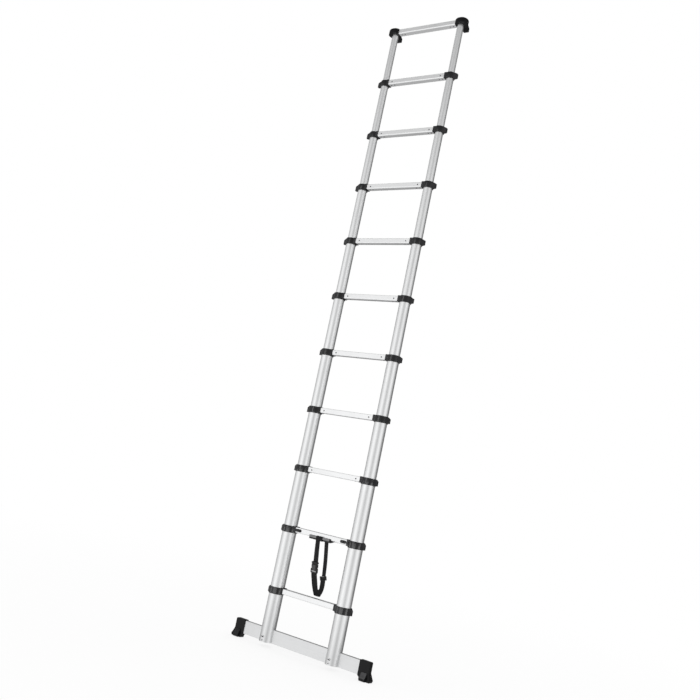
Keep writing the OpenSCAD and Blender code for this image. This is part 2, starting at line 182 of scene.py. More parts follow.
def smooth_stations(stations, steps):
    """Points of a smooth curve through stations, which are tuples of equal length."""
    ends = [stations[0]] + list(stations) + [stations[-1]]
    result = []
    for i in range(1, len(ends) - 2):
        p0, p1, p2, p3 = ends[i - 1:i + 3]
        for step in range(steps):
            t = step / steps
            result.append(tuple(
                0.5 * (2 * b + (c - a) * t + (2 * a - 5 * b + 4 * c - d) * t * t
                       + (3 * b - a - 3 * c + d) * t ** 3)
                for a, b, c, d in zip(p0, p1, p2, p3)))
    result.append(tuple(stations[-1]))
    return result


def bent_sheet(path, thickness, x_low, x_high):
    """Sheet along X whose cross-section follows (y, z) points; its side edges are rounded."""
    def offsets(distance):
        points = []
        for i, (y, z) in enumerate(path):
            before = Vector(path[i]) - Vector(path[i - 1]) if i else Vector(path[1]) - Vector(path[0])
            after = Vector(path[i + 1]) - Vector(path[i]) if i < len(path) - 1 else before
            n1 = Vector((-before.y, before.x)).normalized()
            n2 = Vector((-after.y, after.x)).normalized()
            mitre = (n1 + n2).normalized()
            points.append(Vector((y, z)) + mitre * distance / max(0.5, mitre.dot(n1)))
        return points
    rings = []
    for x, part in ((x_low, 0.3), (x_low + 0.4 * MM, 0.8), (x_low + 1 * MM, 1), (x_high - 1 * MM, 1),
                    (x_high - 0.4 * MM, 0.8), (x_high, 0.3)):
        half = thickness / 2 * part
        outline = offsets(half) + list(reversed(offsets(-half)))
        rings.append([Vector((x, p.x, p.y)) for p in outline])
    return loft(rings)


# ---------------------------------------------------------------- material helpers


def new_material(name):
    """A node material, its tree and its main shader."""
    material = bpy.data.materials.new(name)
    material.use_nodes = True
    tree = material.node_tree
    shader = tree.nodes["Principled BSDF"]
    return material, tree, shader


def add_node(tree, kind, **values):
    """Shader node whose properties, or else inputs, are set by name."""
    node = tree.nodes.new(kind)
    for key, value in values.items():
        if hasattr(node, key):
            setattr(node, key, value)
        else:
            node.inputs[key.replace("_", " ").title()].default_value = value
    return node


def coordinates(tree, scale):
    """Object coordinates stretched by scale."""
    place = add_node(tree, "ShaderNodeTexCoord")
    stretch = add_node(tree, "ShaderNodeMapping")
    stretch.inputs["Scale"].default_value = scale
    tree.links.new(place.outputs["Object"], stretch.inputs["Vector"])
    return stretch.outputs["Vector"]


def noise_of(tree, vector, scale, detail=4.0, roughness=0.55):
    """Value of a noise texture at vector."""
    texture = add_node(tree, "ShaderNodeTexNoise")
    texture.inputs["Scale"].default_value = scale
    texture.inputs["Detail"].default_value = detail
    texture.inputs["Roughness"].default_value = roughness
    tree.links.new(vector, texture.inputs["Vector"])
    return texture.outputs["Fac"]


def ramp_of(tree, factor, stops, interpolation="LINEAR"):
    """Colour ramp; stops are (place, grey or (r, g, b))."""
    ramp = add_node(tree, "ShaderNodeValToRGB")
    ramp.color_ramp.interpolation = interpolation
    elements = ramp.color_ramp.elements
    while len(elements) > 1:
        elements.remove(elements[-1])
    for index, (place, value) in enumerate(stops):
        element = elements[0] if index == 0 else elements.new(place)
        element.position = place
        rgb = (value,) * 3 if isinstance(value, (int, float)) else value
        element.color = (*rgb, 1)
    tree.links.new(factor, ramp.inputs["Fac"])
    return ramp.outputs["Color"]


def bump_of(tree, height, strength, distance, normal=None):
    """Normal bent by a height, on top of another normal if one is given."""
    bump = add_node(tree, "ShaderNodeBump")
    bump.inputs["Strength"].default_value = strength
    bump.inputs["Distance"].default_value = distance
    tree.links.new(height, bump.inputs["Height"])
    if normal:
        tree.links.new(normal, bump.inputs["Normal"])
    return bump.outputs["Normal"]


FLOOR_SHADE_HEIGHTS = (0.05, 0.28)  # metres above the floor over which the painted shade on the metal fades out


def metal(name, grey, roughness, grain_scale, line_depth, floor_shade=1.0):
    """Satin aluminium with fine drawing lines; grain_scale is small along the lines.

    The last argument is the part of the brightness that is left at the floor: painted shade that darkens
    the metal towards the floor.
    """
    material, tree, shader = new_material(name)
    lines = noise_of(tree, coordinates(tree, grain_scale), 1.0, 6.0, 0.6)
    clouds = noise_of(tree, coordinates(tree, (1, 1, 1)), 9.0, 3.0)
    tint = ramp_of(tree, lines, [(0.3, [g * 0.955 for g in grey]), (0.7, grey)])
    shader.inputs["Metallic"].default_value = 1.0
    # Painted shade: the colour darkens towards the floor
    axes = add_node(tree, "ShaderNodeSeparateXYZ")
    tree.links.new(coordinates(tree, (1, 1, 1)), axes.inputs["Vector"])
    floor_shade_ramp = ramp_of(tree, axes.outputs["Z"], [(FLOOR_SHADE_HEIGHTS[0], floor_shade), (FLOOR_SHADE_HEIGHTS[1], 1.0)])
    floor_shaded = add_node(tree, "ShaderNodeMix", data_type="RGBA", blend_type="MULTIPLY")
    floor_shaded.inputs["Factor"].default_value = 1.0
    tree.links.new(tint, floor_shaded.inputs["A"])
    tree.links.new(floor_shade_ramp, floor_shaded.inputs["B"])
    tree.links.new(floor_shaded.outputs["Result"], shader.inputs["Base Color"])
    rough = ramp_of(tree, clouds, [(0.3, roughness - 0.03), (0.7, roughness + 0.04)])
    tree.links.new(rough, shader.inputs["Roughness"])
    tree.links.new(bump_of(tree, lines, 0.35, line_depth), shader.inputs["Normal"])
    return material


WORN = 1.8                   # how much lighter rubbed edges are than the rest of a moulding


def moulded(name, grey, roughness, grain_per_m, grain_depth, specular=0.5):
    """Moulded plastic or rubber: fine grain, cloudy sheen, edges rubbed lighter and painted shade towards
    the outline.
    """
    material, tree, shader = new_material(name)
    vector = coordinates(tree, (1, 1, 1))
    grain = noise_of(tree, vector, grain_per_m, 3.0, 0.7)
    clouds = noise_of(tree, vector, 28.0, 4.0)
    shape = add_node(tree, "ShaderNodeNewGeometry")
    base = ramp_of(tree, clouds, [(0.3, [g * 0.82 for g in grey]), (0.72, [g * 1.22 for g in grey])])
    edge = ramp_of(tree, shape.outputs["Pointiness"], [(0.53, 0.0), (0.62, 1.0)])
    mixed = add_node(tree, "ShaderNodeMix", data_type="RGBA")
    tree.links.new(edge, mixed.inputs["Factor"])
    tree.links.new(base, mixed.inputs["A"])
    mixed.inputs["B"].default_value = (*[g * WORN for g in grey], 1)
    rough = ramp_of(tree, clouds, [(0.3, roughness - 0.06), (0.7, roughness + 0.08)])
    tree.links.new(rough, shader.inputs["Roughness"])
    shader.inputs["Specular IOR Level"].default_value = specular
    tree.links.new(bump_of(tree, grain, 0.5, grain_depth), shader.inputs["Normal"])
    # Painted shade: colour and specular tint darken where the surface turns away from the eye, so outlines
    # read dark
    facing = add_node(tree, "ShaderNodeLayerWeight")
    facing.inputs["Blend"].default_value = 0.5
    grazing_shade = ramp_of(tree, facing.outputs["Facing"], [(0.45, 1.0), (0.85, 0.1)])
    grazing_shaded = add_node(tree, "ShaderNodeMix", data_type="RGBA", blend_type="MULTIPLY")
    grazing_shaded.inputs["Factor"].default_value = 1.0
    tree.links.new(mixed.outputs["Result"], grazing_shaded.inputs["A"])
    tree.links.new(grazing_shade, grazing_shaded.inputs["B"])
    tree.links.new(grazing_shaded.outputs["Result"], shader.inputs["Base Color"])
    tree.links.new(grazing_shade, shader.inputs["Specular Tint"])
    return material


WAVE_BANDS = 3.14            # about how many bands a wave texture of scale 1 has in a metre


def webbing(name, grey, threads_per_m):
    """Woven black webbing: crossing ribs of thread with a little fuzz."""
    material, tree, shader = new_material(name)
    vector = coordinates(tree, (1, 1, 1))
    across = add_node(tree, "ShaderNodeTexWave", wave_type="BANDS", bands_direction="X")
    along = add_node(tree, "ShaderNodeTexWave", wave_type="BANDS", bands_direction="Z")
    for wave, per_m in ((across, threads_per_m), (along, threads_per_m * 0.7)):
        wave.inputs["Scale"].default_value = per_m / WAVE_BANDS
        wave.inputs["Distortion"].default_value = 0.4
        tree.links.new(vector, wave.inputs["Vector"])
    weave = add_node(tree, "ShaderNodeMath", operation="MULTIPLY")
    tree.links.new(across.outputs["Fac"], weave.inputs[0])
    tree.links.new(along.outputs["Fac"], weave.inputs[1])
    fuzz = noise_of(tree, vector, 2200.0, 4.0, 0.7)
    tint = ramp_of(tree, weave.outputs[0],
                   [(0.0, [g * 0.55 for g in grey]), (0.8, [g * 1.3 for g in grey])])
    tree.links.new(tint, shader.inputs["Base Color"])
    shader.inputs["Roughness"].default_value = 0.8
    shader.inputs["Specular IOR Level"].default_value = 0.25
    ribs = bump_of(tree, weave.outputs[0], 0.8, 0.25 * MM)
    tree.links.new(bump_of(tree, fuzz, 0.3, 0.1 * MM, ribs), shader.inputs["Normal"])
    return material


# ---------------------------------------------------------------- materials

# The tubes' last argument darkens them towards the floor as painted shade
TUBE = metal("satin_tube", (0.90, 0.905, 0.91), 0.34, (700, 700, 5), 0.006 * MM, 0.84)
RUNG = metal("matt_rung", (0.93, 0.935, 0.94), 0.36, (5, 700, 700), 0.006 * MM)
BAR = metal("matt_bar", (0.76, 0.765, 0.77), 0.4, (5, 600, 600), 0.008 * MM)
COLLAR = moulded("collar_moulding", (0.009, 0.009, 0.0097), 0.24, 1500, 0.04 * MM, 0.25)
CAP = moulded("cap_rubber", (0.003, 0.003, 0.0033), 0.4, 1100, 0.1 * MM, 0.15)
FOOT = moulded("foot_rubber", (0.0045, 0.0045, 0.005), 0.4, 1000, 0.12 * MM, 0.2)
# One toe rubber in two copies: the left painted darker as shade, the right painted lighter as light on its
# sloping face
TREAD_SHADED_LEFT = moulded("left_toe_painted_shade", (0.014, 0.014, 0.015), 0.6, 900, 0.15 * MM, 0.3)
TREAD_LIT_RIGHT = moulded("right_toe_painted_light", (0.062, 0.062, 0.064), 0.6, 900, 0.15 * MM, 0.4)
BUTTON = moulded("button_moulding", (0.012, 0.012, 0.013), 0.35, 1800, 0.05 * MM)
BUCKLE = moulded("buckle_moulding", (0.008, 0.008, 0.0085), 0.3, 1800, 0.05 * MM, 0.3)
# Light grey for strips that paint highlights on the buckle's end bar and the slider's top bar
BUCKLE_HIGHLIGHT = moulded("buckle_painted_highlight", (0.30, 0.30, 0.305), 0.4, 1800, 0.05 * MM, 0.6)
BUCKLE_PANEL = moulded("buckle_panel", (0.042, 0.042, 0.043), 0.5, 1500, 0.08 * MM)
HOLDER_FACE = moulded("holder_face", (0.17, 0.17, 0.172), 0.45, 1500, 0.06 * MM)
# Near-black for slabs that paint the shade of bolt slots and sockets
RECESS_SHADE = moulded("painted_recess_shade", (0.02, 0.02, 0.02), 0.7, 1500, 0.05 * MM, 0.2)
STEEL = metal("plated_steel", (0.72, 0.72, 0.73), 0.32, (300, 300, 300), 0.006 * MM)
RIVET = metal("dark_rivet", (0.09, 0.09, 0.095), 0.4, (300, 300, 300), 0.006 * MM)
WEBBING = webbing("woven_webbing", (0.013, 0.013, 0.014), 900)
THREAD = moulded("seam_thread", (0.05, 0.05, 0.052), 0.8, 3000, 0.05 * MM, 0.2)


def paint(node, material):
    """Gives a CAD node its material."""
    slots = nodes[node].data.materials
    slots.clear()
    slots.append(material)


for node, material in (("base_tubes", TUBE), ("stabiliser_bar", BAR), ("bar_bolts", STEEL),
                       ("top_caps", CAP), ("foot_left", FOOT), ("foot_right", FOOT),
                       ("release_button_left", BUTTON), ("release_button_right", BUTTON),
                       ("strap_holder", BUCKLE)):
    paint(node, material)
for rung in RUNGS:
    paint(f"rung_{rung}", RUNG)
    if rung > FIXED_RUNGS:
        paint(f"section_{rung}_tubes", TUBE)
    if rung < TOP_RUNG:
        paint(f"rung_{rung}_collars", COLLAR)
        soften_edges(nodes[f"rung_{rung}_collars"], 0.8 * MM)
    if FIXED_RUNGS <= rung < TOP_RUNG:
        paint(f"rung_{rung}_lock_pin_left", STEEL)
        paint(f"rung_{rung}_lock_pin_right", STEEL)
for node, width in (("top_caps", 2.0), ("foot_left", 1.6), ("foot_right", 1.6), ("strap_holder", 0.6),
                    ("release_button_left", 0.7), ("release_button_right", 0.7)):
    soften_edges(nodes[node], width * MM)

# ---------------------------------------------------------------- rivets, painted shade of bolt recesses, button ribs

RIVET_R = 3.6 * MM
RIVET_H = 1.1 * MM
FACE_RIVET_IN = 22 * MM      # from the rung's end to the rivet on its face
FACE_RIVET_DROP = 13 * MM    # from the rung's top to the rivet on its face
UNDER_RIVETS_IN = (14 * MM, 32 * MM)


def dome(place, axis, radius, height):
    """Rivet head whose rim sinks slightly into the surface."""
    profile = [(0, height), (0.35 * radius, 0.94 * height), (0.65 * radius, 0.75 * height),
               (0.88 * radius, 0.42 * height), (radius, 0), (radius, -0.2 * MM)]
    return lathe(profile, place, axis, 20)


def rung_rivets(rung):
    """Heads under both ends of a rung and, except on the top rung, on its front face."""
    low, high = box_of(f"rung_{rung}")
    middle_y = (low.y + high.y) / 2
    centre_z = high.z - FACE_RIVET_DROP
    parts = []
    for end, inward in ((low.x, 1), (high.x, -1)):
        if rung < TOP_RUNG:
            place = (end + inward * FACE_RIVET_IN, low.y, centre_z)
            parts.append(dome(place, (0, -1, 0), RIVET_R, RIVET_H))
        for step in UNDER_RIVETS_IN:
            parts.append(dome((end + inward * step, middle_y, low.z), (0, 0, -1), RIVET_R, RIVET_H))
    return join_parts(parts)


for rung in RUNGS[FIXED_RUNGS:]:
    add_piece(f"rung_{rung}_rivets", rung_rivets(rung), RIVET, section_of(rung))


CLAMP_BOLT_Z = 44.5 * MM
LOWER_BOLT_Z = 28 * MM
LOWER_HEAD_IN = 1 * MM       # how much less the lower bolt's head stands out than the clamp bolt's
SLOT_TILT = math.radians(-12)


def bolt_recess_shades():
    """Dark slabs painted as the shade of a slot in each large bolt head and of a socket in each small one.
    """
    front = box_of("bar_bolts")[0].y
    parts = []
    for x in (-RAIL_X, RAIL_X):
        def in_slot(u, v, w, x=x):
            return Vector((x + u * math.cos(SLOT_TILT) - v * math.sin(SLOT_TILT), front - w,
                           CLAMP_BOLT_Z + u * math.sin(SLOT_TILT) + v * math.cos(SLOT_TILT)))

        def in_socket(u, v, w, x=x):
            return Vector((x + u, front + LOWER_HEAD_IN - w, LOWER_BOLT_Z + v))
        for outline, place_of in ((rounded_rectangle(5.6 * MM, 2.1 * MM, 2.0 * MM), in_slot),
                                  (rounded_rectangle(2.3 * MM, 2.3 * MM, 2.2 * MM), in_socket)):
            parts.append(slab(outline, -0.4 * MM, 0.35 * MM, place_of, 0.2 * MM))
    return join_parts(parts)


# Painted shade: dark slabs on the bolt heads stand in for the shade of slot and socket
add_piece("bolt_recess_shades", bolt_recess_shades(), RECESS_SHADE, "base")


def button_ribs(node):
    """Upright grip ribs on a release button's face."""
    low, high = box_of(node)
    middle = (low + high) / 2
    parts = []
    rib = rounded_rectangle(0.4 * MM, 2.6 * MM, 0.35 * MM)
    for step in (-3, -1.5, 0, 1.5, 3):
        def on_face(u, v, w, step=step):
            return Vector((middle.x + step * MM + u, low.y - w, middle.z + v))
        parts.append(slab(rib, -0.3 * MM, 0.5 * MM, on_face, 0.2 * MM))
    return join_parts(parts)


for side in ("left", "right"):
    button = f"release_button_{side}"
    add_piece(f"{button}_ribs", button_ribs(button), BUTTON, button)

# ---------------------------------------------------------------- toe treads

TOE_TOP = (-8.5, 38)         # (y from the rail's axis, z) of the sloping face's upper edge, in millimetres
TOE_FOOT = (-22.5, 9)        # (y, z) of its lower edge, in millimetres
TOE_INSET = 34.5 * MM        # from the foot's outer end to the middle of its toe
TREAD_ROWS = 5
TREAD_PITCH = 5 * MM


def toe_tread(node, outward):
    """Ribbed pad on the sloping face of a foot's toe."""
    low, high = box_of(node)
    middle_x = (low.x if outward < 0 else high.x) - outward * TOE_INSET
    slope = Vector((0, TOE_FOOT[0] - TOE_TOP[0], TOE_FOOT[1] - TOE_TOP[1])) * MM
    length = slope.length
    down = slope.normalized()
    normal = Vector((0, down.z, -down.y))
    start = Vector((middle_x, RAIL_Y + TOE_TOP[0] * MM, TOE_TOP[1] * MM))

    def on_toe(u, v, w):
        return start + Vector((u, 0, 0)) + down * (length / 2 - v) + normal * w
    pad = rounded_rectangle(14 * MM, length / 2 - 2 * MM, 3 * MM)
    rib = rounded_rectangle(12 * MM, 0.9 * MM, 0.8 * MM)
    parts = [slab(pad, -0.5 * MM, 0.7 * MM, on_toe, 0.4 * MM)]
    for row in range(TREAD_ROWS):
        height = (row - (TREAD_ROWS - 1) / 2) * TREAD_PITCH

        def on_row(u, v, w, height=height):
            return on_toe(u, v + height, w)
        parts.append(slab(rib, 0.3 * MM, 1.3 * MM, on_row, 0.4 * MM))
    return join_parts(parts)


# The right toe gets the lighter copy as painted light, the left the darker copy as painted shade
for side, outward, rubber in (("left", -1, TREAD_SHADED_LEFT), ("right", 1, TREAD_LIT_RIGHT)):
    foot = f"foot_{side}"
    add_piece(f"{foot}_tread", toe_tread(foot, outward), rubber, "base")

# ---------------------------------------------------------------- carry strap

HINGE = Vector((0, RAIL_Y - 8 * MM, 529 * MM))   # middle of the line that the strap swings about
LEAN = math.radians(10)      # the strap's lower end hangs towards the wall
DOWN = Vector((0, math.sin(LEAN), -math.cos(LEAN)))
OUT = Vector((0, -math.cos(LEAN), -math.sin(LEAN)))
BAND_T = 2.0                 # thickness of the webbing in millimetres
# Cross-section of a band as (part of the width, part of half the thickness)
BAND_SECTION = [(0, 0), (0.012, 0.7), (0.04, 1), (0.09, 0.8), (0.5, 0.92), (0.91, 0.8), (0.96, 1),
                (0.988, 0.7), (1, 0), (0.988, -0.7), (0.96, -1), (0.91, -0.8), (0.5, -0.92),
                (0.09, -0.8), (0.04, -1), (0.012, -0.7)]


def on_strap(x, drop, out=0.0):
    """Point in the strap's leaning plane, in millimetres from its hinge; out is towards the climber."""
    return HINGE + Vector((x * MM, 0, 0)) + DOWN * (drop * MM) + OUT * (out * MM)


def band(stations, steps=8):
    """Webbing through stations of (left x, left drop, right x, right drop, out)."""
    rings = []
    for left_x, left_drop, right_x, right_drop, out in smooth_stations(stations, steps):
        left, right = on_strap(left_x, left_drop, out), on_strap(right_x, right_drop, out)
        rings.append([left.lerp(right, part) + OUT * (thick * BAND_T / 2 * MM)
                      for part, thick in BAND_SECTION])
    return loft(rings)


# The three bands as stations of band(), in millimetres
LEFT_BAND = [(-26.5, -4, -1.8, -4, 0), (-26.5, 6, -1.8, 6, 0), (-27, 50, -1, 50, 0.8),
             (-27.5, 90, -0.5, 90, 0), (-27.5, 106, -0.5, 106, 0)]
RIGHT_BAND = [(25, -4, 47, -4, 0), (25.5, 10, 47.5, 10, 0), (28, 60, 49.5, 60, -0.8),
              (29.5, 105, 51, 105, -0.4), (29.5, 150, 50.5, 150, 0), (27.5, 170, 50.5, 170, 0)]
LOWER_LOOP = [(-34, 146, -1, 146, 0), (-31.5, 168, 2, 168, 0), (-27.5, 184, 6, 183, 0.5),
              (-22, 207, 10.5, 204, 0.8), (-15, 229, 13.3, 217, 0.8), (-7.5, 248, 15, 221.5, 0.8),
              (-3.5, 254, 16.2, 222.3, 0.8), (12, 255, 17.4, 222.5, 0.4), (28.5, 254, 18.6, 222.3, 0),
              (34.5, 246, 20.2, 221.5, 0), (42, 231, 21.6, 217, -0.6), (46.5, 217, 22.3, 207, -0.8),
              (50, 198, 23.2, 195, -0.6), (51, 182, 24.5, 182, 0), (51, 168, 25.5, 168, 0)]
bands = join_parts([band(LEFT_BAND), band(RIGHT_BAND), band(LOWER_LOOP, 6)])
strap = add_piece("strap_bands", bands, WEBBING, "carry_strap")
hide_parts("strap_webbing")


STITCH_PITCH = 3.2           # millimetres


def seam(middle_x, top, width, tall):
    """Box of single stitches with a cross in it, in millimetres on the strap."""
    thread = rounded_rectangle(1.15 * MM, 0.28 * MM, 0.26 * MM, 2)

    def stitch(x0, d0, x1, d1):
        """Row of short threads between two points."""
        count = max(2, round(math.hypot(x1 - x0, d1 - d0) / STITCH_PITCH))
        turn = math.atan2(d1 - d0, x1 - x0)
        row = []
        for i in range(count):
            part = (i + 0.5) / count
            x, drop = x0 + (x1 - x0) * part, d0 + (d1 - d0) * part

            def on_band(u, v, w, x=x, drop=drop):
                return on_strap(x + (u * math.cos(turn) - v * math.sin(turn)) / MM,
                                drop + (u * math.sin(turn) + v * math.cos(turn)) / MM, w / MM)
            row.append(slab(thread, 0.8 * MM, 1.35 * MM, on_band, 0.2 * MM))
        return row
    left, right, low = middle_x - width / 2, middle_x + width / 2, top + tall
    return (stitch(left, top, right, top) + stitch(left, low, right, low)
            + stitch(left, top, left, low) + stitch(right, top, right, low)
            + stitch(left, top, right, low) + stitch(left, low, right, top))


seams = join_parts(seam(-14, 8, 17, 13) + seam(36.5, 8, 14, 13) + seam(-14, 80, 19, 13))
add_piece("strap_seams", seams, THREAD, "carry_strap")


def strap_plate(x0, x1, d0, d1, back, front, corner, edge=0.8, turn=0.0):
    """Rounded plate on the strap between two x and two drops, in millimetres, turned about its middle."""
    mid_x, mid_d = (x0 + x1) / 2, (d0 + d1) / 2

    def place_of(u, v, w):
        return on_strap(mid_x + (u * math.cos(turn) + v * math.sin(turn)) / MM,
                        mid_d + (u * math.sin(turn) - v * math.cos(turn)) / MM, w / MM)
    outline = rounded_rectangle((x1 - x0) / 2 * MM, (d1 - d0) / 2 * MM, corner * MM)
    return slab(outline, back * MM, front * MM, place_of, edge * MM)


# Side-release buckle: bar of the pronged half, its prongs, the housing with its side windows and end bar
buckle_parts = [
    strap_plate(-35, 3, 100.5, 110.5, -4, 4.5, 4.5, 1.6),
    strap_plate(-31, -2, 108, 116, -3, 3.2, 1.5),
    strap_plate(-34.5, -30.5, 112, 128, -2.6, 2.6, 1.8),
    strap_plate(-1.5, 2, 112, 128, -2.6, 2.6, 1.6),
    strap_plate(-32.5, -0.5, 113, 121, -4.6, 4.8, 3, 1.4),
    strap_plate(-30.5, -2.5, 119, 134, -4.6, 4.8, 1.5, 1.4),
    strap_plate(-36, 1.5, 131, 154, -4.8, 4.6, 4, 1.6)]
buckle = add_piece("buckle_halves", join_parts(buckle_parts), BUCKLE, "carry_strap")
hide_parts("strap_buckle")
add_piece("buckle_panel", strap_plate(-30, -9.5, 115, 138, 3, 5.4, 3, 0.8), BUCKLE_PANEL,
          "carry_strap")
# Painted highlight: a light grey strip along the buckle's end bar
add_piece("buckle_end_highlight", strap_plate(-30, -5, 141.5, 147.5, 3, 6.2, 2.6, 1.3), BUCKLE_HIGHLIGHT,
          "carry_strap")

# Three-bar slider, set slightly askew on its band
SLIDER_TURN = math.radians(-13)
SLIDER_X, SLIDER_DROP = 38.5, 166    # its middle, in millimetres


def slider_bar(x0, x1, d0, d1, back, front, corner, edge):
    """Bar of the slider given about its middle, turned with it."""
    mid_x, mid_d = (x0 + x1) / 2, (d0 + d1) / 2
    turned_x = SLIDER_X + mid_x * math.cos(SLIDER_TURN) - mid_d * math.sin(SLIDER_TURN)
    turned_d = SLIDER_DROP + mid_x * math.sin(SLIDER_TURN) + mid_d * math.cos(SLIDER_TURN)
    half_x, half_d = (x1 - x0) / 2, (d1 - d0) / 2
    return strap_plate(turned_x - half_x, turned_x + half_x, turned_d - half_d, turned_d + half_d,
                       back, front, corner, edge, SLIDER_TURN)


slider_parts = [
    slider_bar(-18, 18, -9.5, -6, -2.2, 3.6, 1.5, 1.0),
    slider_bar(-18, 18, 6, 9.5, -2.2, 3.6, 1.5, 1.0),
    slider_bar(-17, 17, -1.6, 1.6, -3, 1.2, 1.2, 0.8),
    slider_bar(-18, -10.5, -9, 9, -2.4, 3.2, 1.8, 1.0),
    slider_bar(13.5, 18, -9, 9, -2.4, 3.2, 1.8, 1.0)]
slider = add_piece("slider_frame", join_parts(slider_parts), BUCKLE, "carry_strap")
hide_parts("strap_slider")
# Painted highlight: a light grey strip along the slider's top bar
add_piece("slider_highlight", slider_bar(-9, 8, -9.2, -7.2, 3, 4.4, 0.8, 0.6), BUCKLE_HIGHLIGHT,
          "carry_strap")

# Webbing folded round the holder, its loose tail and the holder's grey face
HOLDER_FRONT = -21 * MM + RAIL_Y
WRAP_T = 1.4 * MM
WRAP_X = (-18 * MM, 19 * MM)
# (distance behind the holder's front, height) of the wrap's cross-section, in millimetres
WRAP_PATH = [(2.2, 548), (-0.2, 548), (-0.9, 547.2), (-1.3, 538), (-0.9, 528.8), (-0.2, 528), (6, 528)]
wrap = [(HOLDER_FRONT + behind * MM, height * MM) for behind, height in WRAP_PATH]
add_piece("holder_wrap", bent_sheet(wrap, WRAP_T, *WRAP_X), WEBBING, "base")
# (x, height) of the tail's outline and its two faces behind the holder's front, in millimetres
TAIL_OUTLINE = [(58, 540), (54, 540), (54, 529.4), (62, 529.2), (70, 531.2), (79, 535), (88, 539.2),
                (88, 540)]
TAIL_FACES = (0.3, 2.3)
tail = loft([[Vector((x * MM, HOLDER_FRONT + behind * MM, z * MM)) for x, z in TAIL_OUTLINE]
             for behind in TAIL_FACES])
add_piece("strap_tail", tail, WEBBING, "base", smooth=False)
HOLDER_FACE_Z = 541.4 * MM   # middle of the grey faces


def holder_face(x0, x1):
    """Grey front plate on the strap holder between two x, in millimetres."""
    def place_of(u, v, w):
        return Vector(((x0 + x1) / 2 * MM + u, HOLDER_FRONT - w, HOLDER_FACE_Z + v))
    outline = rounded_rectangle((x1 - x0) / 2 * MM, 5.4 * MM, 1.2 * MM)
    return slab(outline, -0.5 * MM, 0.7 * MM, place_of, 0.5 * MM)


holder_faces = join_parts([holder_face(-59, -17), holder_face(18, 58)])
add_piece("holder_face", holder_faces, HOLDER_FACE, "base")

# ---------------------------------------------------------------- camera

CAMERA_AT = Vector((2.33573, -3.34273 + RAIL_Y, 0.76652))
VIEW_AZIMUTH = math.radians(35.6788)
VIEW_ELEVATION = math.radians(-9.3331)
VIEW_ROLL = math.radians(11.8575)
LENS = 44.086                # millimetres
SENSOR_WIDTH = 36            # millimetres
FAR_CLIP = 400


def add_camera():
    """Camera at the photograph's viewing angle, rolled as the photograph is."""
    back = Vector((math.sin(VIEW_AZIMUTH) * math.cos(VIEW_ELEVATION),
                   -math.cos(VIEW_AZIMUTH) * math.cos(VIEW_ELEVATION), math.sin(VIEW_ELEVATION)))
    right = (-back).cross(Vector((0, 0, 1))).normalized()
    up = right.cross(-back)
    rolled_right = math.cos(VIEW_ROLL) * right + math.sin(VIEW_ROLL) * up
    rolled_up = -math.sin(VIEW_ROLL) * right + math.cos(VIEW_ROLL) * up
    data = bpy.data.cameras.new("camera")
    data.lens = LENS
    data.sensor_width = SENSOR_WIDTH
    data.clip_end = FAR_CLIP
    camera = bpy.data.objects.new("camera", data)
    bpy.context.scene.collection.objects.link(camera)
    turn = Matrix((rolled_right, rolled_up, back)).transposed().to_4x4()
    camera.matrix_world = Matrix.Translation(CAMERA_AT) @ turn
    bpy.context.scene.camera = camera


add_camera()

# ---------------------------------------------------------------- studio

# Brightness round the studio as the metal mirrors it: (degrees right of the camera, brightness)
FLOOR_ROUND = [(-180, 0.56), (-150, 0.66), (-120, 0.95), (0, 1.0), (110, 0.95), (150, 0.66), (180, 0.56)]
LOW_ROUND = [(-180, 0.17), (-155, 0.36), (-128, 0.60), (-104, 0.74), (-84, 0.98), (-55, 1.20),
             (-30, 0.92), (-10, 0.60), (5, 0.60), (20, 0.92), (40, 1.12), (60, 1.04), (78, 0.64),
             (98, 0.28), (120, 0.16), (155, 0.15), (180, 0.17)]
HIGH_ROUND = [(-180, 0.37), (-140, 0.49), (-100, 0.41), (-74, 0.38), (-40, 0.49), (0, 0.49),
              (24, 0.47), (47, 0.44), (74, 0.35), (106, 0.21), (140, 0.23), (180, 0.37)]
FLOOR_TO_LOW = (-30, -20)    # heights in degrees over which one ring gives way to the next
LOW_TO_HIGH = (20, 26)
DIFFUSE_LIGHT = 1.0
# Soft strips that the collars mirror, broad ones for the low collars and narrow ones for those above:
# (degrees right of the camera, width, height of the lower and the upper edge, watts per square metre)
STRIPS = [(59, 5.0, -2.0, 0.6, 15.5), (-32, 4.9, -2.0, 0.6, 14.5), (-93, 1.4, -2.0, 0.6, 14.5),
          (62, 1.4, 0.6, 4.2, 15.0), (-52, 1.4, 0.6, 4.2, 13.5)]
STRIP_AWAY = 5.0             # from the ladder to the strips
FLOOR_RADIUS = 60.0
FLOOR_DROP = 0.3 * MM        # keeps the floor's surface clear of the soles
FLOOR_GLOW = 0.8             # part of the near floor's white that glows, so that shadows stay faint
FLOOR_FADE = (0.8, 5.0)      # distances from the ladder over which the rest of it begins to glow


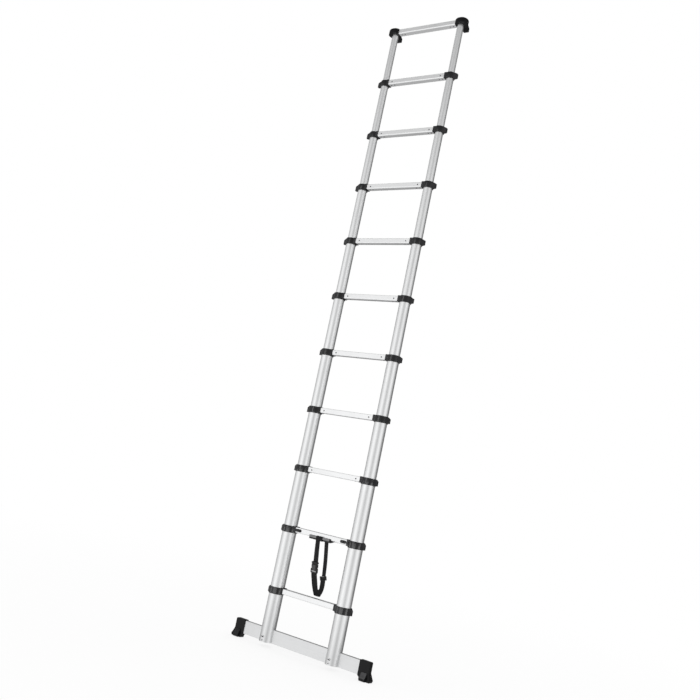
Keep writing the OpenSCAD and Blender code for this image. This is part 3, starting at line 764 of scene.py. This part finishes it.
def add_world():
    """White backdrop to the camera; soft light panels to everything that mirrors it."""
    world = bpy.data.worlds.new("studio")
    bpy.context.scene.world = world
    world.use_nodes = True
    tree = world.node_tree
    tree.nodes.clear()
    place = add_node(tree, "ShaderNodeTexCoord")
    turned = add_node(tree, "ShaderNodeVectorRotate", rotation_type="Z_AXIS")
    tree.links.new(place.outputs["Generated"], turned.inputs["Vector"])
    # After this turn, the direction from the ladder to the camera lies along +X
    turned.inputs["Angle"].default_value = math.pi / 2 - VIEW_AZIMUTH
    axes = add_node(tree, "ShaderNodeSeparateXYZ")
    tree.links.new(turned.outputs["Vector"], axes.inputs["Vector"])
    round_turn = add_node(tree, "ShaderNodeMath", operation="ARCTAN2")
    tree.links.new(axes.outputs["Y"], round_turn.inputs[0])
    tree.links.new(axes.outputs["X"], round_turn.inputs[1])
    round_part = add_node(tree, "ShaderNodeMapRange")
    round_part.inputs["From Min"].default_value = -math.pi
    round_part.inputs["From Max"].default_value = math.pi
    tree.links.new(round_turn.outputs[0], round_part.inputs["Value"])
    height = add_node(tree, "ShaderNodeMath", operation="ARCSINE")
    tree.links.new(axes.outputs["Z"], height.inputs[0])

    def ring(stops):
        return ramp_of(tree, round_part.outputs["Result"], [((a + 180) / 360, b) for a, b in stops])

    def give_way(lower, upper, heights):
        """Mixes two rings by height."""
        part = add_node(tree, "ShaderNodeMapRange", interpolation_type="SMOOTHSTEP")
        part.inputs["From Min"].default_value = math.radians(heights[0])
        part.inputs["From Max"].default_value = math.radians(heights[1])
        tree.links.new(height.outputs[0], part.inputs["Value"])
        mixed = add_node(tree, "ShaderNodeMix", data_type="RGBA")
        tree.links.new(part.outputs["Result"], mixed.inputs["Factor"])
        tree.links.new(lower, mixed.inputs["A"])
        tree.links.new(upper, mixed.inputs["B"])
        return mixed.outputs["Result"]

    lower_panels = give_way(ring(FLOOR_ROUND), ring(LOW_ROUND), FLOOR_TO_LOW)
    panels = give_way(lower_panels, ring(HIGH_ROUND), LOW_TO_HIGH)
    path = add_node(tree, "ShaderNodeLightPath")
    soft = add_node(tree, "ShaderNodeMix", data_type="RGBA")
    tree.links.new(path.outputs["Is Diffuse Ray"], soft.inputs["Factor"])
    tree.links.new(panels, soft.inputs["A"])
    soft.inputs["B"].default_value = (DIFFUSE_LIGHT,) * 3 + (1,)
    seen = add_node(tree, "ShaderNodeMix", data_type="RGBA")
    tree.links.new(path.outputs["Is Camera Ray"], seen.inputs["Factor"])
    tree.links.new(soft.outputs["Result"], seen.inputs["A"])
    seen.inputs["B"].default_value = (1, 1, 1, 1)
    glow = add_node(tree, "ShaderNodeBackground")
    tree.links.new(seen.outputs["Result"], glow.inputs["Color"])
    result = add_node(tree, "ShaderNodeOutputWorld")
    tree.links.new(glow.outputs["Background"], result.inputs["Surface"])


def add_floor():
    """Pale floor that fades into the backdrop with distance."""
    material, tree, shader = new_material("pale_floor")
    shader.inputs["Base Color"].default_value = (0.97, 0.97, 0.97, 1)
    shader.inputs["Roughness"].default_value = 0.9
    shader.inputs["Specular IOR Level"].default_value = 0.0
    vector = coordinates(tree, (1, 1, 1))
    tree.links.new(bump_of(tree, noise_of(tree, vector, 60.0), 0.1, 0.2 * MM), shader.inputs["Normal"])
    far = add_node(tree, "ShaderNodeVectorMath", operation="LENGTH")
    tree.links.new(vector, far.inputs[0])
    fade = add_node(tree, "ShaderNodeMapRange", interpolation_type="SMOOTHSTEP")
    fade.inputs["From Min"].default_value = FLOOR_FADE[0]
    fade.inputs["From Max"].default_value = FLOOR_FADE[1]
    fade.inputs["To Min"].default_value = FLOOR_GLOW
    tree.links.new(far.outputs["Value"], fade.inputs["Value"])
    white = add_node(tree, "ShaderNodeEmission")
    white.inputs["Color"].default_value = (1, 1, 1, 1)
    blend = add_node(tree, "ShaderNodeMixShader")
    tree.links.new(fade.outputs["Result"], blend.inputs["Fac"])
    tree.links.new(shader.outputs["BSDF"], blend.inputs[1])
    tree.links.new(white.outputs["Emission"], blend.inputs[2])
    tree.links.new(blend.outputs["Shader"], tree.nodes["Material Output"].inputs["Surface"])
    verts, faces = lathe([(0, 0), (FLOOR_RADIUS, 0)], (0, 0, -FLOOR_DROP), (0, 0, 1), 64)
    mesh = mesh_from("floor", verts, faces[:-2])
    floor = bpy.data.objects.new("floor", mesh)
    bpy.context.scene.collection.objects.link(floor)
    mesh.materials.append(material)
    floor.visible_glossy = False


def add_strip_lamps():
    """Soft upright strips round the ladder that only its collars mirror."""
    collars = bpy.data.collections.new("collars")
    for name, node in nodes.items():
        if name.endswith("_collars"):
            collars.objects.link(node)
    for index, (degrees, width, low, high, brightness) in enumerate(STRIPS):
        data = bpy.data.lights.new(f"strip_{index}", "AREA")
        data.shape = "RECTANGLE"
        data.size = width
        data.size_y = high - low
        data.energy = brightness * width * (high - low)
        lamp = bpy.data.objects.new(f"strip_{index}", data)
        bpy.context.scene.collection.objects.link(lamp)
        turn = VIEW_AZIMUTH + math.radians(degrees)
        inward = Vector((-math.sin(turn), math.cos(turn), 0))
        lamp.location = Vector((0, 0, (low + high) / 2)) - inward * STRIP_AWAY
        lamp.rotation_euler = inward.to_track_quat("-Z", "Y").to_euler()
        lamp.light_linking.receiver_collection = collars


add_world()
add_floor()
add_strip_lamps()
bpy.context.scene.view_settings.view_transform = "Standard"
